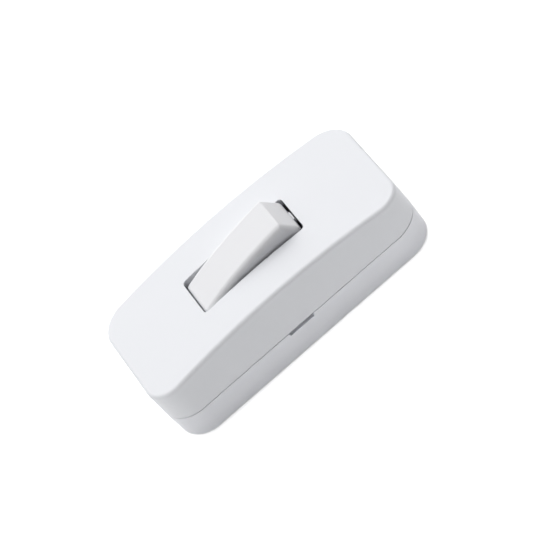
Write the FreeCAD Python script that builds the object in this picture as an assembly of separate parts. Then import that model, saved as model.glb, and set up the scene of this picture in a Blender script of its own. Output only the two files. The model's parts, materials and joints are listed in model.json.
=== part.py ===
"""Inline cord switch: a two-part snap-together housing with a rocker, for a flexible lead.

Lengths are in millimetres. The origin is the middle of the flat underside, +X runs along the
housing towards the raised end of the rocker, and +Z points up through the rocker.
"""
import FreeCAD
import Part
import math
import os
from FreeCAD import Vector

# Housing outside: the seam is where the cover meets the tray
length = 70.0
width = 35.0
seam_z = 7.6
crown_z = 18.55
arch_drop = 2.9
corner_r = 7.4
top_corner_r = 6.2
foot_corner_r = 7.0
cover_end_draft = 0.4
cover_side_draft = 2.1
tray_end_draft = 2.4
tray_side_draft = 2.9
top_edge_r = 0.9
foot_edge_r = 1.1
seam_edge_r = 0.12
groove_h = 0.12
groove_d = 0.5

# Housing inside
wall = 2.0
floor_t = 2.0
roof_t = 2.0
lip_h = 1.2
lip_t = 0.9
play = 0.1

# Cord inlets, one at each end, halved by the seam
inlet_r = 3.4
inlet_flare = 0.6
collar_t = 1.8
collar_reach = 3.0

# Slot for a screwdriver blade, under the seam at the middle of the near side
pry_w = 6.8
pry_h = 0.9
pry_d = 1.6

# Snap hooks of the cover, two on each long side
hook_x = 17.0
hook_w = 6.0
hook_t = 1.1
hook_reach = 3.6
hook_root = 2.4
barb_out = 0.55
barb_h = 1.1

# Rocker, in its own level position with its pivot axis at height zero
pivot_z = 11.3
rocker_tilt = 11.6
rocker_half = 12.4
rocker_rise = 8.7
rocker_crown = 0.7
rocker_w = 12.0
rocker_end_h = 4.75
rocker_end_slope = 24.3
rocker_edge_r = 1.3
rocker_end_r = 0.6
rocker_break_r = 0.6
rocker_wall = 1.4
end_rib_w = 2.8
end_rib_h = 1.0
end_rib_reach = 0.3
end_rib_drop = 0.5
skirt_drop = 0.5
ear_r = 2.9
trunnion_r = 1.5
trunnion_reach = 1.8
hub_r = 3.0
hub_drop = 2.4
well_top = 6.4

# Opening of the cover round the rocker
slot_side_gap = 0.4
slot_end_gap = 0.45
slot_half = 14.15
slot_corner_r = 1.0
slot_rim_r = 0.12
cheek_t = 1.9
cheek_half = 4.2
cheek_foot_half = 3.2
cheek_drop = 1.6
bearing_gap = 0.05

# Plunger and its spring, in the rocker's well
plunger_r = 1.6
plunger_rise = 0.6
pocket_r = 1.3
pocket_depth = 1.8
spring_wire_r = 0.2
spring_turns = 6
tip_gap = 0.02

# Contact see-saw on its knife edges
knife_z = 5.2
strip_t = 0.8
seesaw_half = 9.0
seesaw_w = 4.0
seesaw_ratio = 0.5
lug_w = 0.9
lug_reach = 1.4
lug_slope = 33.0
notch_slope = 20.0
contact_inset = 1.6
contact_r = 1.5
contact_t = 0.5
dome_r = 3.5
rivet_r = 0.7
rivet_head_r = 1.1
rivet_head_t = 0.3
contact_gap = 0.03

# Brass strips on the tray's floor
strip_w = 6.0
ear_t = 0.8
ear_half = 1.8
ear_top = 6.7
strip_overhang = 2.2
peg_r = 1.0

# Clamping terminals of the switched line
block_gap = 0.65
block_l = 5.0
block_w = 6.4
block_h = 5.8
wire_r = 1.5
wire_z = 5.4
screw_r = 1.45
screw_play = 0.05
screw_head_r = 1.9
screw_head_h = 1.5
driver_slot_w = 0.6
driver_slot_h = 0.8

# Through links for neutral and earth, one along each long side
link_half = 12.0
link_w = 4.4
link_h = 5.6
link_wire_z = 4.8
link_wire_depth = 8.0
link_screw_inset = 3.5

# Cord clamps
clamp_gap = 0.4
clamp_l = 4.4
clamp_half = 9.7
clamp_plate_t = 2.4
clamp_hump_t = 1.9
cord_r = 3.1
clamp_edge = 2.4
boss_r = 2.3
saddle_l = 3.0
saddle_half = 4.9
clamp_screw_r = 1.1
clamp_screw_l = 6.5
clamp_head_r = 2.1
clamp_head_h = 1.6
clamp_screw_gap = 0.15

# Ribs and posts of the tray
rib_t = 0.9
rib_h = 3.5
low_rib_h = 1.0
post_half = 2.2
post_gap = 0.3
stop_gap = 0.05
lever_stop_inset = 0.45
stop_l = 1.8
stop_w = 1.6
hold_r = 1.2
hold_gap = 0.9
hold_rib_l = 2.4
hold_rib_t = 0.9

# Places worked out from the sizes above
half_l = length / 2
half_w = width / 2
cavity_x = half_l - wall
cavity_y = half_w - wall
cavity_r = corner_r - wall
collar_r = inlet_r + collar_t
collar_in_x = cavity_x - collar_reach
arch_r = (half_l ** 2 + arch_drop ** 2) / (2 * arch_drop)
arch_centre_z = crown_z - arch_r
rocker_half_w = rocker_w / 2
end_slope = math.radians(rocker_end_slope)
break_x = rocker_half + rocker_end_h * math.tan(end_slope)
break_z = rocker_rise - rocker_end_h
sweep_r = max(math.hypot(rocker_half, rocker_rise), math.hypot(break_x, break_z))
slot_half_w = rocker_half_w + slot_side_gap
bearing_r = trunnion_r + bearing_gap
cheek_foot_z = pivot_z - cheek_drop
hub_foot = -hub_drop
well_r = plunger_r + bearing_gap
tip_centre = pivot_z - knife_z - strip_t - tip_gap - plunger_r
seesaw_tilt = rocker_tilt * seesaw_ratio
strip_top = floor_t + strip_t
contact_x = seesaw_half - contact_inset
lever_stop_x = seesaw_half - lever_stop_inset
block_x = sweep_r + block_gap
block_top = strip_top + block_h
peg_x = (contact_x + block_x) / 2
link_y = slot_half_w + cheek_t + rib_t + link_w / 2
link_top = floor_t + link_h
link_screw_x = link_half - link_screw_inset
hold_x = link_screw_x - screw_head_r - hold_gap - hold_r
clamp_x = collar_in_x - clamp_gap - clamp_l / 2
boss_y = clamp_half - clamp_edge
boss_top = seam_z - play
pivot = Vector(0, 0, pivot_z)
knife = Vector(0, 0, knife_z)
along_y = Vector(0, 1, 0)
ends = (-1, 1)


def tan_deg(angle):
    return math.tan(math.radians(angle))


def box(x0, x1, y0, y1, z0, z1):
    """Box between two corners; the limits of an axis may come in either order."""
    low = Vector(min(x0, x1), min(y0, y1), min(z0, z1))
    return Part.makeBox(abs(x1 - x0), abs(y1 - y0), abs(z1 - z0), low)


def rod(radius, base, axis, reach):
    """Cylinder from base along a row axis given as a vector."""
    return Part.makeCylinder(radius, reach, base, axis)


def outline(half_x, half_y, radius, z):
    """Closed rounded rectangle about the Z axis."""
    edges = []
    arcs = []
    for sx, sy, start in ((1, 1, 0), (-1, 1, 90), (-1, -1, 180), (1, -1, 270)):
        centre = Vector(sx * (half_x - radius), sy * (half_y - radius), z)
        arcs.append(Part.makeCircle(radius, centre, Vector(0, 0, 1), start, start + 90))
    for index, arc in enumerate(arcs):
        following = arcs[(index + 1) % len(arcs)]
        edges.append(arc)
        edges.append(Part.makeLine(arc.lastVertex().Point, following.firstVertex().Point))
    return Part.Wire(edges)


def slab(half_x, half_y, radius, z0, z1):
    """Upright block with a rounded rectangle as its plan."""
    return Part.Face(outline(half_x, half_y, radius, z0)).extrude(Vector(0, 0, z1 - z0))


def side_plate(points, y0, y1):
    """Straight-sided plate: an outline of (x, z) points, from y0 to y1."""
    path = [Vector(x, y0, z) for x, z in points]
    face = Part.Face(Part.makePolygon(path + path[:1]))
    return face.extrude(Vector(0, y1 - y0, 0))


def end_plate(points, x0, x1):
    """Straight-sided plate: an outline of (y, z) points, from x0 to x1."""
    path = [Vector(x0, y, z) for y, z in points]
    face = Part.Face(Part.makePolygon(path + path[:1]))
    return face.extrude(Vector(x1 - x0, 0, 0))


def both_sides(solid):
    """The solid and its mirror image across the long middle plane."""
    return [solid, solid.mirror(Vector(0, 0, 0), Vector(0, 1, 0))]


def four_corners(solid):
    """The solid and its mirror images across both upright middle planes."""
    pair = both_sides(solid)
    return pair + [item.mirror(Vector(0, 0, 0), Vector(1, 0, 0)) for item in pair]


def joined(solid, additions):
    return solid.fuse(additions).removeSplitter()


def edges_at_height(solid, z):
    """Edges that lie wholly in the level plane at z."""
    return [e for e in solid.Edges if abs(e.BoundBox.ZMin - z) < 1e-4 and abs(e.BoundBox.ZMax - z) < 1e-4]


def edges_on_arch(solid, radius):
    """Edges whose middle and ends lie on the arched roof of the given radius."""
    found = []
    for edge in solid.Edges:
        middle = edge.valueAt((edge.FirstParameter + edge.LastParameter) / 2)
        points = [middle] + [v.Point for v in edge.Vertexes]
        if all(abs(math.hypot(p.x, p.z - arch_centre_z) - radius) < 1e-3 for p in points):
            found.append(edge)
    return found


def arch_body(radius):
    """Everything under an arched roof of the given radius."""
    y = -width
    side_z = arch_centre_z + math.sqrt(radius ** 2 - length ** 2)
    top = Vector(0, y, arch_centre_z + radius)
    arc = Part.Arc(Vector(-length, y, side_z), top, Vector(length, y, side_z)).toShape()
    corners = [Vector(x, y, z) for x, z in ((length, side_z), (length, -1), (-length, -1), (-length, side_z))]
    straights = [Part.makeLine(start, end) for start, end in zip(corners, corners[1:])]
    return Part.Face(Part.Wire([arc] + straights)).extrude(Vector(0, 2 * width, 0))


def inlet_cutters(side):
    """Bore of a cord inlet and the flare of its mouth."""
    axis = Vector(side, 0, 0)
    bore_start = Vector(side * (collar_in_x - 1), 0, seam_z)
    bore = rod(inlet_r, bore_start, axis, half_l + 1 - (collar_in_x - 1))
    mouth = Vector(side * (half_l - inlet_flare), 0, seam_z)
    return [bore, Part.makeCone(inlet_r, inlet_r + 2 * inlet_flare, 2 * inlet_flare, mouth, axis)]


def collar_zones():
    """Spaces at both ends where the collars stand in place of the lip."""
    half = collar_r + play
    return [box(side * (cavity_x - 1), side * half_l, -half, half, seam_z - 1, crown_z) for side in ends]


def cover_outside():
    """Arched upper shell as a full body, with its rounded top edge and a softened edge at the seam."""
    rise = crown_z - seam_z
    over = 1 + 1 / rise
    top = outline(
        half_l - over * rise * tan_deg(cover_end_draft),
        half_w - over * rise * tan_deg(cover_side_draft),
        corner_r + over * (top_corner_r - corner_r),
        seam_z + over * rise,
    )
    body = Part.makeLoft([outline(half_l, half_w, corner_r, seam_z), top], True, True)
    body = body.makeFillet(seam_edge_r, edges_at_height(body, seam_z))
    body = body.common(arch_body(arch_r))
    return body.makeFillet(top_edge_r, edges_on_arch(body, arch_r))


def rocker_sweep():
    """Space that the ends of the rocker pass through, with their gap."""
    drum = rod(sweep_r + slot_end_gap, Vector(0, -slot_half_w, pivot_z), along_y, 2 * slot_half_w)
    rims = [e for e in drum.Edges if len(e.Vertexes) == 1]
    return drum.makeFillet(slot_corner_r, rims)


def cover_cheeks():
    """Bearing cheeks that hang from the roof on both sides of the rocker, with open-bottomed bearings."""
    top_z = crown_z - roof_t / 2
    outer = slot_half_w + cheek_t
    points = [(-cheek_half, top_z), (cheek_half, top_z)]
    points += [(cheek_foot_half, cheek_foot_z), (-cheek_foot_half, cheek_foot_z)]
    cheek = side_plate(points, slot_half_w, outer)
    bearing = rod(bearing_r, Vector(0, slot_half_w - 1, pivot_z), along_y, cheek_t + 2)
    mouth = box(-bearing_r, bearing_r, slot_half_w - 1, outer + 1, cheek_foot_z - 1, pivot_z)
    return both_sides(cheek.cut([bearing, mouth]))


def cover_hook():
    """Snap hook at one corner: a tongue with a root on the wall and a barb that catches in the tray."""
    outer = cavity_y - play
    inner = outer - hook_t
    foot = seam_z - hook_reach
    x0 = hook_x - hook_w / 2
    x1 = hook_x + hook_w / 2
    root_z = seam_z + lip_h + 2 * play
    tongue = box(x0, x1, inner, outer, foot, root_z + hook_root)
    root = box(x0, x1, inner, cavity_y + wall / 4, root_z, root_z + hook_root)
    barb_points = [(outer - play, foot), (outer, foot), (outer + barb_out, foot + barb_h / 2)]
    barb_points += [(outer + barb_out, foot + barb_h), (outer - play, foot + barb_h)]
    return joined(tongue, [root, end_plate(barb_points, x0, x1)])


def roof_middle(x):
    """Height of the middle of the roof's thickness at x."""
    return arch_centre_z + math.sqrt((arch_r - roof_t / 2) ** 2 - x ** 2)


def cover_peg():
    """Round peg that holds a through link down."""
    foot = link_top + play
    return rod(hold_r, Vector(hold_x, link_y, foot), Vector(0, 0, 1), roof_middle(hold_x) - foot)


def cover_rib():
    """Flat rib that holds a line terminal down beside its screw."""
    x = block_x + block_l / 2
    inner = screw_head_r + 2 * play
    outer_x = x + hold_rib_l / 2
    return box(x - hold_rib_l / 2, outer_x, inner, inner + hold_rib_t, block_top + play, roof_middle(outer_x))


def top_cover():
    body = cover_outside()
    slot = slab(slot_half, slot_half_w, slot_corner_r, pivot_z, crown_z + 1)
    body = body.cut(slot)
    rim = [e for e in edges_on_arch(body, arch_r) if abs(e.CenterOfMass.y) < slot_half_w + 0.01]
    rim = [e for e in rim if abs(e.CenterOfMass.x) < slot_half + 0.01]
    body = body.makeFillet(slot_rim_r, rim)
    inside = slab(cavity_x, cavity_y, cavity_r, seam_z - 1, crown_z)
    body = body.cut(inside.common(arch_body(arch_r - roof_t)))
    lip_space = lip_t + play
    rebate_top = seam_z + lip_h + play
    rebate = slab(cavity_x + lip_space, cavity_y + lip_space, cavity_r + lip_t, seam_z - 1, rebate_top)
    body = body.cut(rebate.cut(collar_zones()))
    additions = []
    for side in ends:
        start = Vector(side * collar_in_x, 0, seam_z)
        collar = rod(collar_r, start, Vector(side, 0, 0), collar_reach + wall / 2)
        additions.append(collar.common(box(-half_l, half_l, -half_w, half_w, seam_z, crown_z)))
    additions += cover_cheeks()
    additions += four_corners(cover_hook())
    additions += four_corners(cover_peg()) + four_corners(cover_rib())
    body = joined(body, additions)
    cutters = [rocker_sweep()]
    for side in ends:
        cutters += inlet_cutters(side)
    return body.cut(cutters)


def tray_outside():
    """Shallow lower shell as a full body; the step on its rim leaves a groove at the seam."""
    rim_z = seam_z - groove_h
    rim = outline(half_l, half_w, corner_r, rim_z)
    foot = outline(
        half_l - rim_z * tan_deg(tray_end_draft),
        half_w - rim_z * tan_deg(tray_side_draft),
        foot_corner_r,
        0,
    )
    body = Part.makeLoft([foot, rim], True, True)
    body = body.makeFillet(foot_edge_r, edges_at_height(body, 0))
    body = body.makeFillet(seam_edge_r, edges_at_height(body, rim_z))
    step = slab(half_l - groove_d, half_w - groove_d, corner_r - groove_d, rim_z - groove_d, seam_z)
    return joined(body, [step])


def tray_lip():
    """Upstanding lip along the inside of the rim, left out at the inlets."""
    outer = slab(cavity_x + lip_t, cavity_y + lip_t, cavity_r + lip_t, seam_z - lip_h, seam_z + lip_h)
    inner = slab(cavity_x, cavity_y, cavity_r, seam_z - lip_h - 1, seam_z + lip_h + 1)
    return outer.cut([inner] + collar_zones())


def tray_posts():
    """Posts under the trunnions, stops for the ends of the rocker and the stop of the see-saw."""
    post_y = slot_half_w + play
    trunnion_foot = pivot_z - trunnion_r
    post = box(-post_half, post_half, post_y, post_y + cheek_t - 2 * play, floor_t, trunnion_foot - post_gap)
    parts = both_sides(post)
    tilt = math.radians(rocker_tilt)
    skirt_x = break_x - (break_z + skirt_drop) * math.tan(tilt)
    skirt_z = pivot_z - skirt_drop * math.cos(tilt) - skirt_x * math.sin(tilt)
    stop_x = skirt_x * math.cos(tilt) - skirt_drop * math.sin(tilt)
    stop_y = rocker_half_w - rocker_edge_r - stop_w
    stop = box(stop_x - stop_l, stop_x, stop_y, stop_y + stop_w, floor_t, skirt_z - stop_gap)
    parts += four_corners(stop)
    rest_z = knife_z - lever_stop_x * math.sin(math.radians(seesaw_tilt)) - stop_gap
    lever_stop_y = seesaw_w / 4
    parts.append(box(-lever_stop_x, -lever_stop_x + rib_t, -lever_stop_y, lever_stop_y, floor_t, rest_z))
    parts.append(rod(peg_r, Vector(peg_x, 0, floor_t), Vector(0, 0, 1), strip_t + stop_gap))
    return parts


def tray_ribs():
    """Walls and fences that keep the links and the terminal blocks in place."""
    fence_y = link_y - link_w / 2 - play
    fence_x = link_half + play
    wall_rib = box(-fence_x - rib_t, fence_x + rib_t, fence_y - rib_t, fence_y, floor_t, floor_t + rib_h)
    outer_y = link_y + link_w / 2 + play
    outer_rib = box(-fence_x / 2, fence_x / 2, outer_y, outer_y + rib_t, floor_t, floor_t + rib_h)
    parts = both_sides(wall_rib) + both_sides(outer_rib)
    parts += four_corners(box(fence_x, fence_x + rib_t, fence_y, outer_y, floor_t, floor_t + low_rib_h))
    side_y = block_w / 2 + play
    fence_top = strip_top + rib_h / 2
    parts += four_corners(box(block_x, block_x + block_l, side_y, side_y + rib_t, floor_t, fence_top))
    return parts


def tray_clamp_seats():
    """Bosses for the clamp screws and the saddle that the lead lies in."""
    parts = []
    cord = rod(cord_r, Vector(-half_l, 0, seam_z), Vector(1, 0, 0), length)
    for side in ends:
        x = side * clamp_x
        saddle = box(x - saddle_l / 2, x + saddle_l / 2, -saddle_half, saddle_half, floor_t, boss_top)
        parts.append(saddle.cut(cord))
        for sy in ends:
            foot = Vector(x, sy * boss_y, floor_t)
            boss = rod(boss_r, foot, Vector(0, 0, 1), boss_top - floor_t)
            drilled = Vector(x, sy * boss_y, boss_top + clamp_plate_t - clamp_screw_l - play)
            hole = rod(clamp_screw_r + clamp_screw_gap, drilled, Vector(0, 0, 1), boss_top)
            parts.append(boss.cut(hole))
    return parts


def base_tray():
    body = tray_outside()
    body = body.cut(slab(cavity_x, cavity_y, cavity_r, floor_t, seam_z + 1))
    additions = [tray_lip()]
    for side in ends:
        outer_x = side * (cavity_x + wall / 2)
        additions.append(box(side * collar_in_x, outer_x, -collar_r, collar_r, floor_t, seam_z))
    additions += tray_posts() + tray_ribs() + tray_clamp_seats()
    body = joined(body, additions)
    cutters = []
    for side in ends:
        cutters += inlet_cutters(side)
    pry_top = seam_z + lip_h / 2
    cutters.append(box(-pry_w / 2, pry_w / 2, -half_w - 1, pry_d - half_w, seam_z - pry_h, pry_top))
    foot = seam_z - hook_reach
    x0 = hook_x - hook_w / 2 - play
    x1 = hook_x + hook_w / 2 + play
    y0 = cavity_y - play
    y1 = cavity_y + barb_out + play
    cutters += four_corners(box(x0, x1, y0, y1, foot - play, foot + barb_h + play))
    return body.cut(cutters)


def tilted(solid):
    """A part of the rocker's own level frame, set to the rest position with its +X end up."""
    placed = solid.copy()
    placed.translate(pivot)
    placed.rotate(pivot, along_y, -rocker_tilt)
    return placed


def rocker_profile(half, rise, end_h, foot, half_y):
    """Body with a crowned top, sloping end faces and skirts that stand upright when their end is up."""
    y = -half_y
    break_half = half + end_h * tan_deg(rocker_end_slope)
    foot_half = break_half - (rise - end_h - foot) * tan_deg(rocker_tilt)
    corners = [(half, rise), (break_half, rise - end_h), (foot_half, foot)]
    corners += [(-x, z) for x, z in reversed(corners)]
    points = [Vector(x, y, z) for x, z in corners]
    edges = [Part.makeLine(start, end) for start, end in zip(points, points[1:])]
    edges.append(Part.Arc(points[-1], Vector(0, y, rise + rocker_crown), points[0]).toShape())
    return Part.Face(Part.Wire(edges)).extrude(Vector(0, 2 * half_y, 0))


def cross_edges(solid, z):
    """Edges that run right across the rocker at height z."""
    across = [e for e in solid.Edges if abs(e.CenterOfMass.y) < 1e-3 and e.BoundBox.YLength > rocker_wall]
    return [e for e in across if abs(e.CenterOfMass.z - z) < 0.05]


def rocker():
    """Hollow moulded rocker with trunnions and a well for the plunger."""
    body = rocker_profile(rocker_half, rocker_rise, rocker_end_h, -skirt_drop, rocker_half_w)
    body = body.makeFillet(rocker_break_r, cross_edges(body, break_z))
    body = body.makeFillet(rocker_end_r, cross_edges(body, rocker_rise))
    side_edges = []
    for edge in body.Edges:
        middle = edge.valueAt((edge.FirstParameter + edge.LastParameter) / 2)
        if abs(abs(middle.y) - rocker_half_w) < 1e-4 and middle.z > -skirt_drop + 1e-3:
            side_edges.append(edge)
    body = body.makeFillet(rocker_edge_r, side_edges)
    inner_half = rocker_half + rocker_wall * (math.sin(end_slope) - 1) / math.cos(end_slope)
    inner_w = rocker_half_w - rocker_wall
    inner_rise = rocker_rise - rocker_wall
    inner_top = inner_rise + rocker_crown
    hollow = rocker_profile(inner_half, inner_rise, inner_rise - break_z, -skirt_drop - 1, inner_w)
    body = body.cut(hollow)
    ear = rod(ear_r, Vector(0, inner_w, 0), along_y, rocker_wall)
    pin = rod(trunnion_r, Vector(0, inner_w, 0), along_y, rocker_wall + trunnion_reach)
    hub = rod(hub_r, Vector(0, 0, hub_foot), Vector(0, 0, 1), inner_top - hub_foot + rocker_wall / 2)
    rib_top = break_z - end_rib_drop
    rib_x = break_x - (break_z - rib_top) * tan_deg(rocker_tilt) + end_rib_reach
    rib = box(-rib_x, rib_x, -end_rib_w / 2, end_rib_w / 2, rib_top - end_rib_h, rib_top)
    body = joined(body, both_sides(ear) + both_sides(pin) + [hub, rib.cut(hollow)])
    well = rod(well_r, Vector(0, 0, hub_foot - 1), Vector(0, 0, 1), well_top - hub_foot + 1)
    return tilted(body.cut(well))


def plunger():
    """Round-nosed plunger with a pocket for the foot of its spring."""
    stem = rod(plunger_r, Vector(0, 0, -tip_centre), Vector(0, 0, 1), tip_centre + plunger_rise)
    nose = Part.makeSphere(plunger_r, Vector(0, 0, -tip_centre))
    pocket = rod(pocket_r, Vector(0, 0, plunger_rise - pocket_depth), Vector(0, 0, 1), pocket_depth + 1)
    return tilted(joined(stem, [nose]).cut(pocket))


def plunger_spring():
    """Compression spring between the plunger's pocket and the top of the well."""
    foot = plunger_rise - pocket_depth + spring_wire_r
    head = well_top - spring_wire_r
    mean_r = pocket_r - spring_wire_r - bearing_gap
    helix = Part.makeHelix((head - foot) / spring_turns, head - foot, mean_r)
    section = Part.Wire(Part.makeCircle(spring_wire_r, Vector(mean_r, 0, 0), along_y))
    coil = Part.Wire(helix).makePipeShell([section], True, True)
    coil.translate(Vector(0, 0, foot))
    return tilted(coil)


def on_seesaw(solid):
    """A part of the see-saw's level frame, set to rest with its +X arm down."""
    placed = solid.copy()
    placed.translate(knife)
    placed.rotate(knife, along_y, seesaw_tilt)
    return placed


def see_saw():
    """Brass contact lever with a knife-edged lug on each side and a rivet hole."""
    arm = box(-seesaw_half, seesaw_half, -seesaw_w / 2, seesaw_w / 2, 0, strip_t)
    tips = [e for e in arm.Edges if abs(e.Vertexes[0].Z - e.Vertexes[1].Z) > strip_t / 2]
    arm = arm.makeFillet(seesaw_w / 4, tips)
    edge_z = lug_w / 2 * tan_deg(lug_slope)
    lug_points = [(0, 0), (lug_w / 2, edge_z), (lug_w / 2, strip_t)]
    lug_points += [(-lug_w / 2, strip_t), (-lug_w / 2, edge_z)]
    lug_end = seesaw_w / 2 + lug_reach
    lugs = side_plate(lug_points, -lug_end, lug_end)
    relief = box(-lug_w / 2, lug_w / 2, -seesaw_w / 2, seesaw_w / 2, -1, strip_t)
    lever = joined(arm.cut(relief), [lugs])
    hole = rod(rivet_r, Vector(contact_x, 0, -1), Vector(0, 0, 1), strip_t + 2)
    return on_seesaw(lever.cut(hole))


def dome_height():
    return dome_r - math.sqrt(dome_r ** 2 - contact_r ** 2)


def moving_contact():
    """Silver rivet under the see-saw's arm, with a domed face."""
    face_z = -contact_t - dome_height()
    pad = rod(contact_r, Vector(contact_x, 0, face_z), Vector(0, 0, 1), contact_t + dome_height())
    ball = Part.makeSphere(dome_r, Vector(contact_x, 0, face_z + dome_r))
    shank = rod(rivet_r, Vector(contact_x, 0, -contact_t), Vector(0, 0, 1), contact_t + strip_t)
    head = rod(rivet_head_r, Vector(contact_x, 0, strip_t), Vector(0, 0, 1), rivet_head_t)
    return on_seesaw(joined(pad.common(ball), [shank, head]))


def resting_contact_point():
    """Lowest point of the moving contact at rest, as x and z."""
    tilt = math.radians(seesaw_tilt)
    centre_z = dome_r - contact_t - dome_height()
    x = contact_x * math.cos(tilt) + centre_z * math.sin(tilt)
    z = knife_z - contact_x * math.sin(tilt) + centre_z * math.cos(tilt) - dome_r
    return x, z


def fixed_contact():
    """Silver rivet in the contact strip, just under the moving contact at rest."""
    x, z = resting_contact_point()
    pad = rod(contact_r, Vector(x, 0, strip_top), Vector(0, 0, 1), z - contact_gap - strip_top)
    shank = rod(rivet_r, Vector(x, 0, floor_t), Vector(0, 0, 1), strip_t)
    return joined(pad, [shank])


def contact_strip():
    """Brass strip from the fixed contact to the outgoing terminal."""
    inner_end = contact_x - strip_overhang
    strip = box(inner_end, block_x + block_l, -strip_w / 2, strip_w / 2, floor_t, strip_top)
    x, _ = resting_contact_point()
    rivet_hole = rod(rivet_r, Vector(x, 0, 0), Vector(0, 0, 1), strip_top + 1)
    peg_hole = rod(peg_r + play, Vector(peg_x, 0, 0), Vector(0, 0, 1), strip_top + 1)
    return strip.cut([rivet_hole, peg_hole])


def pivot_bracket():
    """Brass strip from the incoming terminal, with two upright ears notched for the knife edges."""
    inner_end = ear_half + strip_t
    strip = box(-block_x - block_l, inner_end, -strip_w / 2, strip_w / 2, floor_t, strip_top)
    ear = box(-ear_half, ear_half, strip_w / 2 - ear_t, strip_w / 2, floor_t, ear_top)
    window_y = seesaw_w / 4 + play
    window = box(-lever_stop_x - play, -lever_stop_x + rib_t + play, -window_y, window_y, 0, strip_top + 1)
    notch_half = lug_w / 2 + 2 * play
    notch_side = notch_half * tan_deg(notch_slope)
    apex = knife_z - contact_gap
    points = [(0, apex), (notch_half, apex + notch_side), (notch_half, ear_top + 1)]
    points += [(-notch_half, ear_top + 1), (-notch_half, apex + notch_side)]
    notch = side_plate(points, -strip_w, strip_w)
    return joined(strip, both_sides(ear)).cut([window, notch])


def terminal_block(side):
    """Brass block on the end of a strip, with a wire hole along X and a tapped hole from above."""
    x = side * (block_x + block_l / 2)
    half = block_l / 2
    block = box(x - half, x + half, -block_w / 2, block_w / 2, strip_top, block_top)
    wire = rod(wire_r, Vector(x - half - 1, 0, wire_z), Vector(1, 0, 0), block_l + 2)
    tapped = rod(screw_r + screw_play, Vector(x, 0, wire_z), Vector(0, 0, 1), block_top)
    return block.cut([wire, tapped])


def driver_slot(x, y, half_x, half_y, head_top):
    """Cut for a screwdriver in the top of a screw's head."""
    return box(x - half_x, x + half_x, y - half_y, y + half_y, head_top - driver_slot_h, head_top)


def terminal_screw(x, y, seat_z, tip_z):
    """Slotted clamping screw, its head standing on seat_z and its tip at tip_z."""
    shank = rod(screw_r, Vector(x, y, tip_z), Vector(0, 0, 1), seat_z - tip_z)
    head = rod(screw_head_r, Vector(x, y, seat_z), Vector(0, 0, 1), screw_head_h)
    slot = driver_slot(x, y, screw_head_r, driver_slot_w / 2, seat_z + screw_head_h)
    return joined(shank, [head]).cut(slot)


def line_screw(side):
    return terminal_screw(side * (block_x + block_l / 2), 0, block_top, wire_z + wire_r / 2)


def through_link(side):
    """Brass bar with a wire hole in each end and a tapped hole over each of them."""
    y = side * link_y
    bar = box(-link_half, link_half, y - link_w / 2, y + link_w / 2, floor_t, link_top)
    cutters = []
    for end in ends:
        mouth = Vector(end * (link_half - link_wire_depth), y, link_wire_z)
        cutters.append(rod(wire_r, mouth, Vector(end, 0, 0), link_wire_depth + 1))
        tapped = Vector(end * link_screw_x, y, link_wire_z)
        cutters.append(rod(screw_r + screw_play, tapped, Vector(0, 0, 1), link_top))
    return bar.cut(cutters)


def link_screws(side):
    y = side * link_y
    tip_z = link_wire_z + wire_r / 2
    return Part.makeCompound([terminal_screw(end * link_screw_x, y, link_top, tip_z) for end in ends])


def cord_clamp(side):
    """Bar that holds the lead down in its saddle: a plate on both bosses with an arched hump between."""
    x = side * clamp_x
    half = clamp_l / 2
    plate_top = boss_top + clamp_plate_t
    plate = box(x - half, x + half, -clamp_half, clamp_half, boss_top, plate_top)
    hump = rod(cord_r + clamp_hump_t, Vector(x - half, 0, seam_z), Vector(1, 0, 0), clamp_l)
    above = box(x - half, x + half, -clamp_half, clamp_half, boss_top, crown_z)
    bar = joined(plate, [hump.common(above)])
    corners = [e for e in bar.Edges if abs(e.CenterOfMass.y) > clamp_half - 0.01 and e.BoundBox.ZLength > 1]
    bar = bar.makeFillet(clamp_l / 4, corners)
    hole_r = clamp_screw_r + clamp_screw_gap
    cutters = [rod(cord_r, Vector(x - half - 1, 0, seam_z), Vector(1, 0, 0), clamp_l + 2)]
    for sy in ends:
        cutters.append(rod(hole_r, Vector(x, sy * boss_y, 0), Vector(0, 0, 1), crown_z))
    return bar.cut(cutters)


def clamp_screw(x, y):
    """Pan-headed screw through the clamp bar into its boss."""
    seat_z = boss_top + clamp_plate_t
    shank = rod(clamp_screw_r, Vector(x, y, seat_z - clamp_screw_l), Vector(0, 0, 1), clamp_screw_l)
    head = rod(clamp_head_r, Vector(x, y, seat_z), Vector(0, 0, 1), clamp_head_h)
    rim = [e for e in head.Edges if len(e.Vertexes) == 1 and e.CenterOfMass.z > seat_z + clamp_head_h / 2]
    head = head.makeFillet(clamp_head_h / 2, rim)
    long_half = clamp_head_r / 2
    short_half = driver_slot_w / 2
    head_top = seat_z + clamp_head_h
    along = driver_slot(x, y, long_half, short_half, head_top)
    across = driver_slot(x, y, short_half, long_half, head_top)
    return joined(shank, [head]).cut([along, across])


def clamp_screws(side):
    return Part.makeCompound([clamp_screw(side * clamp_x, sy * boss_y) for sy in ends])


def nodes():
    """Every piece by its name."""
    return {
        "top_cover": top_cover(),
        "base_tray": base_tray(),
        "rocker": rocker(),
        "plunger": plunger(),
        "plunger_spring": plunger_spring(),
        "see_saw": see_saw(),
        "moving_contact": moving_contact(),
        "fixed_contact": fixed_contact(),
        "contact_strip": contact_strip(),
        "pivot_bracket": pivot_bracket(),
        "line_in_terminal": terminal_block(-1),
        "line_out_terminal": terminal_block(1),
        "line_in_screw": line_screw(-1),
        "line_out_screw": line_screw(1),
        "neutral_link": through_link(-1),
        "neutral_screws": link_screws(-1),
        "earth_link": through_link(1),
        "earth_screws": link_screws(1),
        "cord_clamp_left": cord_clamp(-1),
        "cord_clamp_right": cord_clamp(1),
        "clamp_screws_left": clamp_screws(-1),
        "clamp_screws_right": clamp_screws(1),
    }


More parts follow.
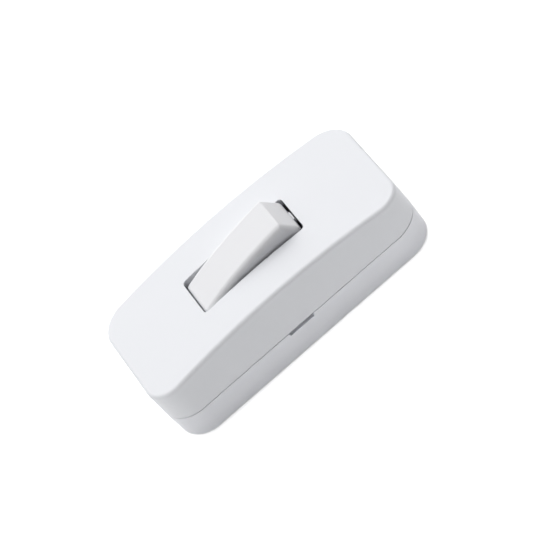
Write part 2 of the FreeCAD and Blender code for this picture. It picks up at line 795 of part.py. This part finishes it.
def main():
    os.makedirs("parts", exist_ok=True)
    for name, shape in nodes().items():
        shape.exportStep(os.path.join("parts", name + ".step"))
        size = shape.BoundBox
        print(f"{name}: {len(shape.Solids)} solid, valid {shape.isValid()}, volume {shape.Volume:.2f}, "
              f"{size.XLength:.2f} x {size.YLength:.2f} x {size.ZLength:.2f}")


main()
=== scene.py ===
"""Finishes, floor, lamps and camera for an inline cord switch, laid out as a Blender add-on."""

import bpy
import json
import math
from bpy.props import FloatProperty, FloatVectorProperty, PointerProperty
from mathutils import Matrix, Vector


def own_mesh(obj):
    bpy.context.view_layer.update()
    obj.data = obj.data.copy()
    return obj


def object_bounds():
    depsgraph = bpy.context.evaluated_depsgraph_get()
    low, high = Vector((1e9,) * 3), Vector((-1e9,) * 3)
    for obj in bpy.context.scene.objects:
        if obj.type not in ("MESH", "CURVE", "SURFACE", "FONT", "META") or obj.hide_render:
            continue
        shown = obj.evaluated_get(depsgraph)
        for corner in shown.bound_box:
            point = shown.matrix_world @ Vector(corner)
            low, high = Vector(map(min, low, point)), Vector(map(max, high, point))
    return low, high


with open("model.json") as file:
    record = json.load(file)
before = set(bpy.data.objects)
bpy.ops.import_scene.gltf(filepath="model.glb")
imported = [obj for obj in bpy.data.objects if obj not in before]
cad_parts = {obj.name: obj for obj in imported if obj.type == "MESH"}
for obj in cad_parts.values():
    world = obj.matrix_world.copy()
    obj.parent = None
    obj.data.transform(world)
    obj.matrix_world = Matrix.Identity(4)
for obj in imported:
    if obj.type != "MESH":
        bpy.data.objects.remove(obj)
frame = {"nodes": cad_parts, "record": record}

bl_info = {
    "name": "Inline Cord Switch",
    "version": (1, 0, 0),
    "blender": (4, 5, 0),
    "location": "View3D > Sidebar > Cord Switch",
    "description": "Finishes, floor, lamps and camera for an inline cord switch",
    "category": "Object",
}

MM = 0.001
CAD_BOX = [list(corner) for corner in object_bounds()]
WHITE = (1.0, 1.0, 1.0, 1.0)

INNER_PLASTIC_NODES = ("plunger", "cord_clamp_left", "cord_clamp_right")
BRASS_NODES = (
    "see_saw",
    "contact_strip",
    "pivot_bracket",
    "line_in_terminal",
    "line_out_terminal",
    "neutral_link",
    "earth_link",
)
CONTACT_NODES = ("moving_contact", "fixed_contact")
SCREW_NODES = (
    "line_in_screw",
    "line_out_screw",
    "neutral_screws",
    "earth_screws",
    "clamp_screws_left",
    "clamp_screws_right",
)

# Moulded plastic: slow changes of shade across a piece
DRIFTS_PER_METRE = 90.0

# Drawn metal: how far its lines are drawn out, their depth, and its spots of tarnish
LINE_DRAW = 0.05
LINE_DEPTH = 0.002 * MM
SPOTS_PER_METRE = 220.0

# Roughness and tarnish of each metal finish
BRASS_SURFACE = (0.28, 0.16)
SILVER_SURFACE = (0.22, 0.1)
PLATING_SURFACE = (0.3, 0.08)
WIRE_SURFACE = (0.25, 0.05)

# The floor lies a little under the switch, so that the two never share a plane
FLOOR_DROP = 0.05 * MM
FLOOR_CORNERS = 96

# Camera
SENSOR_WIDTH = 36.0
VIEW_REACH = 20.0

# Soft lamps: azimuth from +X towards +Y and elevation in degrees, then distance and width in metres
OVERHEAD_LAMP = (0, 90, 1.2, 0.5)
BACK_LAMP = (90, 45, 1.4, 2.2)
LEFT_LAMP = (180, 40, 1.4, 0.9)
BACK_RIGHT_LAMP = (45, 40, 1.4, 0.9)

# The lamp over the floor in front: its height, its place to the right and its bulb's radius
TABLE_LAMP_HEIGHT = 1.2
TABLE_LAMP_RIGHT = 0.03
TABLE_LAMP_BULB = 0.01


def slot_colour(slot_name):
    """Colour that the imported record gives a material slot, with full opacity."""
    for material in frame["record"]["materials"]:
        if material["slot"] == slot_name:
            return (*material["base_color"][:3], 1.0)
    raise ValueError(f"the record has no slot {slot_name}")


class CordSwitchPlastic(bpy.types.PropertyGroup):
    """Colour and surface of the moulded pieces."""

    cover_colour: FloatVectorProperty(
        name="Cover",
        description="Colour of the arched cover",
        subtype="COLOR",
        size=4,
        min=0.0,
        max=1.0,
        default=(0.85, 0.862, 0.894, 1.0),
    )
    # Painted light: the tray is the cover's white plastic, set lighter to make up for the shade it
    # gets near the floor
    tray_colour_with_painted_light: FloatVectorProperty(
        name="Tray",
        description="Colour of the lower shell",
        subtype="COLOR",
        size=4,
        min=0.0,
        max=1.0,
        default=(0.89, 0.9, 0.94, 1.0),
    )
    # Painted shade: the rocker is the cover's white plastic, set darker to tone down its well-lit top
    rocker_colour_with_painted_shade: FloatVectorProperty(
        name="Rocker",
        description="Colour of the rocker",
        subtype="COLOR",
        size=4,
        min=0.0,
        max=1.0,
        default=(0.822, 0.824, 0.845, 1.0),
    )
    inner_colour: FloatVectorProperty(
        name="Inner Plastic",
        description="Colour of the plunger and the cord clamps",
        subtype="COLOR",
        size=4,
        min=0.0,
        max=1.0,
        default=slot_colour("natural_plastic"),
    )
    housing_roughness: FloatProperty(
        name="Housing Roughness",
        description="Roughness of the satin housing",
        min=0.0,
        max=1.0,
        default=0.42,
    )
    rocker_roughness: FloatProperty(
        name="Rocker Roughness",
        description="Roughness of the smoother rocker",
        min=0.0,
        max=1.0,
        default=0.34,
    )
    grain_pitch: FloatProperty(
        name="Grain Pitch",
        description="Size of the fine texture that the mould leaves",
        unit="LENGTH",
        precision=5,
        min=0.00005,
        default=0.0004,
    )
    grain_depth: FloatProperty(
        name="Grain Depth",
        description="Depth of the fine texture",
        unit="LENGTH",
        precision=6,
        min=0.0,
        default=0.000002,
    )


class CordSwitchMetal(bpy.types.PropertyGroup):
    """Colour and surface of the current-carrying and fastening pieces."""

    brass_colour: FloatVectorProperty(
        name="Brass",
        description="Colour of the brass pieces",
        subtype="COLOR",
        size=4,
        min=0.0,
        max=1.0,
        default=slot_colour("brass"),
    )
    silver_colour: FloatVectorProperty(
        name="Contact Silver",
        description="Colour of the contact rivets",
        subtype="COLOR",
        size=4,
        min=0.0,
        max=1.0,
        default=slot_colour("contact_silver"),
    )
    screw_colour: FloatVectorProperty(
        name="Screw Plating",
        description="Colour of the plated screws",
        subtype="COLOR",
        size=4,
        min=0.0,
        max=1.0,
        default=slot_colour("screw_steel"),
    )
    spring_colour: FloatVectorProperty(
        name="Spring Steel",
        description="Colour of the spring wire",
        subtype="COLOR",
        size=4,
        min=0.0,
        max=1.0,
        default=slot_colour("spring_steel"),
    )
    line_pitch: FloatProperty(
        name="Drawing Line Pitch",
        description="Distance between the fine lines that drawing and stamping leave",
        unit="LENGTH",
        precision=5,
        min=0.00002,
        default=0.00015,
    )


class CordSwitchStage(bpy.types.PropertyGroup):
    """Camera, floor and lamps."""

    camera_elevation: FloatProperty(
        name="Camera Elevation",
        description="Angle of the view above the floor",
        subtype="ANGLE",
        default=math.radians(39.99),
    )
    camera_azimuth: FloatProperty(
        name="Camera Azimuth",
        description="Turn of the view about the upright axis",
        subtype="ANGLE",
        default=math.radians(2.25),
    )
    camera_roll: FloatProperty(
        name="Camera Roll",
        description="Roll of the picture about the line of sight",
        subtype="ANGLE",
        default=math.radians(-42.53),
    )
    camera_distance: FloatProperty(
        name="Camera Distance",
        description="Distance from the aim point to the camera",
        unit="LENGTH",
        min=0.1,
        default=0.7575,
    )
    aim_height: FloatProperty(
        name="Aim Height",
        description="Height of the point that the framing is set from",
        unit="LENGTH",
        precision=4,
        default=0.012,
    )
    aim_right: FloatProperty(
        name="Aim Right",
        description="Shift of the aim point to the right in the picture",
        unit="LENGTH",
        precision=5,
        default=0.00275,
    )
    aim_up: FloatProperty(
        name="Aim Up",
        description="Shift of the aim point upwards in the picture",
        unit="LENGTH",
        precision=5,
        default=0.00029,
    )
    lens: FloatProperty(
        name="Lens",
        description="Focal length in millimetres on a sensor 36 mm wide",
        min=10.0,
        default=231.8,
    )
    floor_width: FloatProperty(
        name="Floor Width",
        description="Width of the round floor",
        unit="LENGTH",
        min=0.5,
        default=2.0,
    )
    floor_shade: FloatProperty(
        name="Floor Shade",
        description="Diffuse colour of the floor",
        min=0.0,
        max=1.0,
        default=0.95,
    )
    floor_glow: FloatProperty(
        name="Floor Glow",
        description="Light that the floor adds in the picture and in reflections only",
        min=0.0,
        default=0.55,
    )
    sky_strength: FloatProperty(
        name="Sky Strength",
        description="Light that the surroundings throw on the switch, apart from their own white",
        min=0.0,
        default=0.005,
    )
    overhead_power: FloatProperty(
        name="Overhead Power",
        description="Power of the lamp above the switch",
        subtype="POWER",
        min=0.0,
        default=4.6,
    )
    back_power: FloatProperty(
        name="Back Power",
        description="Power of the wide lamp behind the switch",
        subtype="POWER",
        min=0.0,
        default=16.4,
    )
    left_power: FloatProperty(
        name="Left Power",
        description="Power of the lamp beyond the pressed end of the rocker",
        subtype="POWER",
        min=0.0,
        default=4.9,
    )
    back_right_power: FloatProperty(
        name="Back Right Power",
        description="Power of the lamp behind the raised end of the rocker",
        subtype="POWER",
        min=0.0,
        default=4.3,
    )
    table_power: FloatProperty(
        name="Table Power",
        description="Power of the lamp over the floor in front, which lights the near side from below",
        subtype="POWER",
        min=0.0,
        default=22.6,
    )
    table_patch: FloatProperty(
        name="Table Patch",
        description="Radius of the patch of floor in front that the table lamp lights",
        unit="LENGTH",
        precision=3,
        min=0.01,
        default=0.5,
    )


def add_socket(group, name, kind, direction, default=None):
    """New named socket on a shader node group."""
    socket = group.interface.new_socket(name=name, in_out=direction, socket_type=kind)
    if default is not None:
        socket.default_value = default
    return socket


def moulded_grain_group():
    """Node group for moulded plastic: slow shade drift, fine grain and its height."""
    name = "Moulded Grain"
    if name in bpy.data.node_groups:
        return bpy.data.node_groups[name]
    group = bpy.data.node_groups.new(name, "ShaderNodeTree")
    add_socket(group, "Colour", "NodeSocketColor", "INPUT", (0.9, 0.9, 0.9, 1.0))
    add_socket(group, "Shade Drift", "NodeSocketFloat", "INPUT", 0.02)
    add_socket(group, "Grains Per Metre", "NodeSocketFloat", "INPUT", 2500.0)
    add_socket(group, "Roughness", "NodeSocketFloat", "INPUT", 0.4)
    add_socket(group, "Roughness Drift", "NodeSocketFloat", "INPUT", 0.06)
    add_socket(group, "Colour", "NodeSocketColor", "OUTPUT")
    add_socket(group, "Roughness", "NodeSocketFloat", "OUTPUT")
    add_socket(group, "Grain Height", "NodeSocketFloat", "OUTPUT")
    nodes = group.nodes
    links = group.links
    entry = nodes.new("NodeGroupInput")
    result = nodes.new("NodeGroupOutput")
    place = nodes.new("ShaderNodeTexCoord")

    drift = nodes.new("ShaderNodeTexNoise")
    drift.inputs["Scale"].default_value = DRIFTS_PER_METRE
    drift.inputs["Detail"].default_value = 2.0
    links.new(place.outputs["Object"], drift.inputs["Vector"])

    centred = nodes.new("ShaderNodeMath")
    centred.operation = "SUBTRACT"
    centred.inputs[1].default_value = 0.5
    links.new(drift.outputs["Fac"], centred.inputs[0])

    shade = nodes.new("ShaderNodeMath")
    shade.operation = "MULTIPLY_ADD"
    shade.inputs[2].default_value = 1.0
    links.new(centred.outputs["Value"], shade.inputs[0])
    links.new(entry.outputs["Shade Drift"], shade.inputs[1])

    tinted = nodes.new("ShaderNodeVectorMath")
    tinted.operation = "SCALE"
    links.new(entry.outputs["Colour"], tinted.inputs[0])
    links.new(shade.outputs["Value"], tinted.inputs["Scale"])
    links.new(tinted.outputs["Vector"], result.inputs["Colour"])

    gloss = nodes.new("ShaderNodeMath")
    gloss.operation = "MULTIPLY_ADD"
    links.new(centred.outputs["Value"], gloss.inputs[0])
    links.new(entry.outputs["Roughness Drift"], gloss.inputs[1])
    links.new(entry.outputs["Roughness"], gloss.inputs[2])
    links.new(gloss.outputs["Value"], result.inputs["Roughness"])

    grain = nodes.new("ShaderNodeTexNoise")
    grain.inputs["Detail"].default_value = 1.0
    links.new(place.outputs["Object"], grain.inputs["Vector"])
    links.new(entry.outputs["Grains Per Metre"], grain.inputs["Scale"])
    links.new(grain.outputs["Fac"], result.inputs["Grain Height"])
    return group


def drawn_metal_group():
    """Node group for drawn and stamped metal: long fine lines and a slow tarnish."""
    name = "Drawn Metal"
    if name in bpy.data.node_groups:
        return bpy.data.node_groups[name]
    group = bpy.data.node_groups.new(name, "ShaderNodeTree")
    add_socket(group, "Colour", "NodeSocketColor", "INPUT", (0.8, 0.8, 0.8, 1.0))
    add_socket(group, "Tarnish", "NodeSocketFloat", "INPUT", 0.15)
    add_socket(group, "Lines Per Metre", "NodeSocketFloat", "INPUT", 6000.0)
    add_socket(group, "Roughness", "NodeSocketFloat", "INPUT", 0.3)
    add_socket(group, "Colour", "NodeSocketColor", "OUTPUT")
    add_socket(group, "Roughness", "NodeSocketFloat", "OUTPUT")
    add_socket(group, "Line Height", "NodeSocketFloat", "OUTPUT")
    nodes = group.nodes
    links = group.links
    entry = nodes.new("NodeGroupInput")
    result = nodes.new("NodeGroupOutput")
    place = nodes.new("ShaderNodeTexCoord")

    stretch = nodes.new("ShaderNodeMapping")
    stretch.inputs["Scale"].default_value = (LINE_DRAW, 1.0, 1.0)
    links.new(place.outputs["Object"], stretch.inputs["Vector"])

    lines = nodes.new("ShaderNodeTexNoise")
    lines.inputs["Detail"].default_value = 2.0
    links.new(stretch.outputs["Vector"], lines.inputs["Vector"])
    links.new(entry.outputs["Lines Per Metre"], lines.inputs["Scale"])
    links.new(lines.outputs["Fac"], result.inputs["Line Height"])

    spots = nodes.new("ShaderNodeTexNoise")
    spots.inputs["Scale"].default_value = SPOTS_PER_METRE
    spots.inputs["Detail"].default_value = 3.0
    links.new(place.outputs["Object"], spots.inputs["Vector"])

    amount = nodes.new("ShaderNodeMath")
    amount.operation = "MULTIPLY"
    links.new(spots.outputs["Fac"], amount.inputs[0])
    links.new(entry.outputs["Tarnish"], amount.inputs[1])

    kept = nodes.new("ShaderNodeMath")
    kept.operation = "SUBTRACT"
    kept.inputs[0].default_value = 1.0
    links.new(amount.outputs["Value"], kept.inputs[1])

    dulled = nodes.new("ShaderNodeVectorMath")
    dulled.operation = "SCALE"
    links.new(entry.outputs["Colour"], dulled.inputs[0])
    links.new(kept.outputs["Value"], dulled.inputs["Scale"])
    links.new(dulled.outputs["Vector"], result.inputs["Colour"])

    gloss = nodes.new("ShaderNodeMath")
    gloss.operation = "ADD"
    links.new(entry.outputs["Roughness"], gloss.inputs[0])
    links.new(amount.outputs["Value"], gloss.inputs[1])
    links.new(gloss.outputs["Value"], result.inputs["Roughness"])
    return group


def plastic_material(name, colour, roughness):
    """Moulded plastic with the grain group, in one colour."""
    plastic = bpy.context.scene.cord_switch_plastic
    material = bpy.data.materials.new(name)
    material.use_nodes = True
    nodes = material.node_tree.nodes
    links = material.node_tree.links
    shader = nodes["Principled BSDF"]
    grain = nodes.new("ShaderNodeGroup")
    grain.node_tree = moulded_grain_group()
    grain.inputs["Colour"].default_value = colour
    grain.inputs["Grains Per Metre"].default_value = 1.0 / plastic.grain_pitch
    grain.inputs["Roughness"].default_value = roughness
    bump = nodes.new("ShaderNodeBump")
    bump.inputs["Strength"].default_value = 1.0
    bump.inputs["Distance"].default_value = plastic.grain_depth
    links.new(grain.outputs["Colour"], shader.inputs["Base Color"])
    links.new(grain.outputs["Roughness"], shader.inputs["Roughness"])
    links.new(grain.outputs["Grain Height"], bump.inputs["Height"])
    links.new(bump.outputs["Normal"], shader.inputs["Normal"])
    return material


def metal_material(name, colour, roughness, tarnish):
    """Drawn or stamped metal with the line group, in one colour."""
    metal = bpy.context.scene.cord_switch_metal
    material = bpy.data.materials.new(name)
    material.use_nodes = True
    nodes = material.node_tree.nodes
    links = material.node_tree.links
    shader = nodes["Principled BSDF"]
    shader.inputs["Metallic"].default_value = 1.0
    drawn = nodes.new("ShaderNodeGroup")
    drawn.node_tree = drawn_metal_group()
    drawn.inputs["Colour"].default_value = colour
    drawn.inputs["Roughness"].default_value = roughness
    drawn.inputs["Tarnish"].default_value = tarnish
    drawn.inputs["Lines Per Metre"].default_value = 1.0 / metal.line_pitch
    bump = nodes.new("ShaderNodeBump")
    bump.inputs["Strength"].default_value = 1.0
    bump.inputs["Distance"].default_value = LINE_DEPTH
    links.new(drawn.outputs["Colour"], shader.inputs["Base Color"])
    links.new(drawn.outputs["Roughness"], shader.inputs["Roughness"])
    links.new(drawn.outputs["Line Height"], bump.inputs["Height"])
    links.new(bump.outputs["Normal"], shader.inputs["Normal"])
    return material


def dress(node_names, material):
    """Put one material in every slot of the named nodes."""
    for node_name in node_names:
        mesh = frame["nodes"][node_name].data
        if not mesh.materials:
            mesh.materials.append(material)
        for index in range(len(mesh.materials)):
            mesh.materials[index] = material


def shorten_with_joint(node_name):
    """Give a spring its own copy of its mesh."""
    spring = frame["nodes"][node_name]
    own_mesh(spring)


class CORDSWITCH_OT_finish_housing(bpy.types.Operator):
    """Give the arched cover and the lower shell their satin white plastic, the shell's white lighter
    as painted light
    """

    bl_idname = "cordswitch.finish_housing"
    bl_label = "Finish Housing"

    def execute(self, context):
        plastic = context.scene.cord_switch_plastic
        cover = plastic_material("Cover White", plastic.cover_colour, plastic.housing_roughness)
        # The tray's white holds painted light: it is lighter than the cover's to make up for shade
        # near the floor
        tray = plastic_material("Tray White With Painted Light", plastic.tray_colour_with_painted_light, plastic.housing_roughness)
        dress(("top_cover",), cover)
        dress(("base_tray",), tray)
        return {"FINISHED"}


class CORDSWITCH_OT_finish_rocker(bpy.types.Operator):
    """Give the rocker its smoother white plastic, its white darkened as painted shade"""

    bl_idname = "cordswitch.finish_rocker"
    bl_label = "Finish Rocker"

    def execute(self, context):
        plastic = context.scene.cord_switch_plastic
        # The rocker's white holds painted shade: it is darker than the cover's to tone down its
        # well-lit top
        white = plastic_material("Rocker White With Painted Shade", plastic.rocker_colour_with_painted_shade, plastic.rocker_roughness)
        dress(("rocker",), white)
        return {"FINISHED"}


class CORDSWITCH_OT_finish_inner_plastic(bpy.types.Operator):
    """Give the plunger and the cord clamps their natural plastic"""

    bl_idname = "cordswitch.finish_inner_plastic"
    bl_label = "Finish Inner Plastic"

    def execute(self, context):
        plastic = context.scene.cord_switch_plastic
        roughness = plastic.housing_roughness
        natural = plastic_material("Natural Plastic", plastic.inner_colour, roughness)
        dress(INNER_PLASTIC_NODES, natural)
        return {"FINISHED"}


class CORDSWITCH_OT_finish_brass(bpy.types.Operator):
    """Give the strips, terminals, links and the contact lever their brass"""

    bl_idname = "cordswitch.finish_brass"
    bl_label = "Finish Brass"

    def execute(self, context):
        metal = context.scene.cord_switch_metal
        dress(BRASS_NODES, metal_material("Stamped Brass", metal.brass_colour, *BRASS_SURFACE))
        return {"FINISHED"}


class CORDSWITCH_OT_finish_contacts(bpy.types.Operator):
    """Give the contact rivets their silver"""

    bl_idname = "cordswitch.finish_contacts"
    bl_label = "Finish Contacts"

    def execute(self, context):
        metal = context.scene.cord_switch_metal
        dress(CONTACT_NODES, metal_material("Contact Silver", metal.silver_colour, *SILVER_SURFACE))
        return {"FINISHED"}


class CORDSWITCH_OT_finish_fasteners(bpy.types.Operator):
    """Give the screws their plating, and the spring its drawn wire and its own copy of its mesh"""

    bl_idname = "cordswitch.finish_fasteners"
    bl_label = "Finish Screws and Spring"

    def execute(self, context):
        metal = context.scene.cord_switch_metal
        dress(SCREW_NODES, metal_material("Screw Plating", metal.screw_colour, *PLATING_SURFACE))
        wire = metal_material("Spring Wire", metal.spring_colour, *WIRE_SURFACE)
        dress(("plunger_spring",), wire)
        shorten_with_joint("plunger_spring")
        return {"FINISHED"}


def view_axes(stage):
    """Line of sight, picture right and picture up, from the camera's three angles."""
    elevation = stage.camera_elevation
    azimuth = stage.camera_azimuth
    sight = Vector((
        -math.sin(azimuth) * math.cos(elevation),
        math.cos(azimuth) * math.cos(elevation),
        -math.sin(elevation),
    ))
    level_right = sight.cross(Vector((0.0, 0.0, 1.0))).normalized()
    level_up = level_right.cross(sight)
    turn = stage.camera_roll
    right = level_right * math.cos(turn) + level_up * math.sin(turn)
    up = level_up * math.cos(turn) - level_right * math.sin(turn)
    return sight, right, up


def add_camera(stage):
    """Camera at the photograph's angle, aimed and framed as the photograph is."""
    sight, right, up = view_axes(stage)
    aim = Vector((0.0, 0.0, stage.aim_height)) + right * stage.aim_right + up * stage.aim_up
    data = bpy.data.cameras.new("Photo Camera")
    data.sensor_width = SENSOR_WIDTH
    data.lens = stage.lens
    data.clip_end = VIEW_REACH
    camera = bpy.data.objects.new("Photo Camera", data)
    turn = Matrix((right, up, -sight)).transposed().to_4x4()
    camera.matrix_world = Matrix.Translation(aim - sight * stage.camera_distance) @ turn
    bpy.context.scene.collection.objects.link(camera)
    bpy.context.scene.camera = camera


def seen_rays(tree):
    """Value that is 1 for the camera, reflections and clear pieces, and 0 for other light."""
    nodes = tree.nodes
    links = tree.links
    rays = nodes.new("ShaderNodeLightPath")
    seen = nodes.new("ShaderNodeMath")
    seen.operation = "MAXIMUM"
    seen_anyhow = nodes.new("ShaderNodeMath")
    seen_anyhow.operation = "MAXIMUM"
    links.new(rays.outputs["Is Camera Ray"], seen.inputs[0])
    links.new(rays.outputs["Is Glossy Ray"], seen.inputs[1])
    links.new(seen.outputs["Value"], seen_anyhow.inputs[0])
    links.new(rays.outputs["Is Transmission Ray"], seen_anyhow.inputs[1])
    return seen_anyhow.outputs["Value"]


def add_floor(stage):
    """Round white floor that stays white in the picture but keeps the switch's shadow."""
    bpy.ops.mesh.primitive_circle_add(
        vertices=FLOOR_CORNERS,
        radius=stage.floor_width / 2,
        fill_type="NGON",
    )
    floor = bpy.context.object
    floor.name = "studio_floor"
    floor.location.z = -FLOOR_DROP
    material = bpy.data.materials.new("Studio Floor")
    material.use_nodes = True
    nodes = material.node_tree.nodes
    links = material.node_tree.links
    nodes.clear()
    output = nodes.new("ShaderNodeOutputMaterial")
    shade = stage.floor_shade
    matt = nodes.new("ShaderNodeBsdfDiffuse")
    matt.inputs["Color"].default_value = (shade, shade, shade, 1.0)
    glow = nodes.new("ShaderNodeEmission")
    glow.inputs["Color"].default_value = WHITE
    strength = nodes.new("ShaderNodeMath")
    strength.operation = "MULTIPLY"
    strength.inputs[1].default_value = stage.floor_glow
    both = nodes.new("ShaderNodeAddShader")
    links.new(seen_rays(material.node_tree), strength.inputs[0])
    links.new(strength.outputs["Value"], glow.inputs["Strength"])
    links.new(matt.outputs["BSDF"], both.inputs[0])
    links.new(glow.outputs["Emission"], both.inputs[1])
    links.new(both.outputs["Shader"], output.inputs["Surface"])
    floor.data.materials.append(material)


def add_lamp(name, azimuth, elevation, distance, width, power):
    """Square area lamp that faces the switch."""
    around = math.radians(azimuth)
    above = math.radians(elevation)
    place = distance * Vector((
        math.cos(around) * math.cos(above),
        math.sin(around) * math.cos(above),
        math.sin(above),
    ))
    data = bpy.data.lights.new(name, "AREA")
    data.shape = "SQUARE"
    data.size = width
    data.energy = power
    lamp = bpy.data.objects.new(name, data)
    lamp.location = place
    lamp.rotation_euler = (-place).to_track_quat("-Z", "Y").to_euler()
    bpy.context.scene.collection.objects.link(lamp)


def add_table_lamp(stage):
    """Spot from straight above on the floor before the near side, clear of the switch itself."""
    near_side = CAD_BOX[0][1]
    data = bpy.data.lights.new("Table Lamp", "SPOT")
    data.energy = stage.table_power
    data.spot_size = 2 * math.atan(stage.table_patch / TABLE_LAMP_HEIGHT)
    data.spot_blend = 0.0
    data.shadow_soft_size = TABLE_LAMP_BULB
    lamp = bpy.data.objects.new("Table Lamp", data)
    lamp.location = (TABLE_LAMP_RIGHT, near_side - stage.table_patch, TABLE_LAMP_HEIGHT)
    bpy.context.scene.collection.objects.link(lamp)


def add_sky(stage):
    """White surroundings in the picture and in reflections, with little light of their own."""
    world = bpy.data.worlds.new("Studio Sky")
    world.use_nodes = True
    background = world.node_tree.nodes["Background"]
    background.inputs["Color"].default_value = WHITE
    strength = world.node_tree.nodes.new("ShaderNodeMapRange")
    strength.inputs["To Min"].default_value = stage.sky_strength
    strength.inputs["To Max"].default_value = 1.0
    world.node_tree.links.new(seen_rays(world.node_tree), strength.inputs["Value"])
    world.node_tree.links.new(strength.outputs["Result"], background.inputs["Strength"])
    bpy.context.scene.world = world


class CORDSWITCH_OT_set_stage(bpy.types.Operator):
    """Set up the white floor, the soft lamps and the camera"""

    bl_idname = "cordswitch.set_stage"
    bl_label = "Set Stage"

    def execute(self, context):
        stage = context.scene.cord_switch_stage
        context.scene.view_settings.view_transform = "Standard"
        add_camera(stage)
        add_floor(stage)
        add_sky(stage)
        add_lamp("Overhead Lamp", *OVERHEAD_LAMP, stage.overhead_power)
        add_lamp("Back Lamp", *BACK_LAMP, stage.back_power)
        add_lamp("Left Lamp", *LEFT_LAMP, stage.left_power)
        add_lamp("Back Right Lamp", *BACK_RIGHT_LAMP, stage.back_right_power)
        add_table_lamp(stage)
        return {"FINISHED"}


class CORDSWITCH_PT_panel(bpy.types.Panel):
    """Sidebar panel with the switch's settings and steps"""

    bl_idname = "CORDSWITCH_PT_panel"
    bl_label = "Inline Cord Switch"
    bl_space_type = "VIEW_3D"
    bl_region_type = "UI"
    bl_category = "Cord Switch"

    def draw(self, context):
        layout = self.layout
        for group_name in SETTINGS:
            box = layout.box()
            settings = getattr(context.scene, group_name)
            for setting in settings.bl_rna.properties:
                if setting.identifier not in ("rna_type", "name"):
                    box.prop(settings, setting.identifier)
        for operator in STEPS:
            layout.operator(operator.bl_idname)


SETTINGS = {
    "cord_switch_plastic": CordSwitchPlastic,
    "cord_switch_metal": CordSwitchMetal,
    "cord_switch_stage": CordSwitchStage,
}
STEPS = (
    CORDSWITCH_OT_finish_housing,
    CORDSWITCH_OT_finish_rocker,
    CORDSWITCH_OT_finish_inner_plastic,
    CORDSWITCH_OT_finish_brass,
    CORDSWITCH_OT_finish_contacts,
    CORDSWITCH_OT_finish_fasteners,
    CORDSWITCH_OT_set_stage,
)


def register():
    """Register the classes and hang their settings on the scene."""
    for cls in (*SETTINGS.values(), *STEPS, CORDSWITCH_PT_panel):
        bpy.utils.register_class(cls)
    for group_name, cls in SETTINGS.items():
        setattr(bpy.types.Scene, group_name, PointerProperty(type=cls))


def unregister():
    """Take the settings off the scene and unregister the classes."""
    for group_name in SETTINGS:
        delattr(bpy.types.Scene, group_name)
    for cls in (CORDSWITCH_PT_panel, *reversed(STEPS), *reversed(SETTINGS.values())):
        bpy.utils.unregister_class(cls)


def main():
    """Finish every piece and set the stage."""
    register()
    bpy.ops.cordswitch.finish_housing()
    bpy.ops.cordswitch.finish_rocker()
    bpy.ops.cordswitch.finish_inner_plastic()
    bpy.ops.cordswitch.finish_brass()
    bpy.ops.cordswitch.finish_contacts()
    bpy.ops.cordswitch.finish_fasteners()
    bpy.ops.cordswitch.set_stage()


if __name__ == "__main__":
    main()
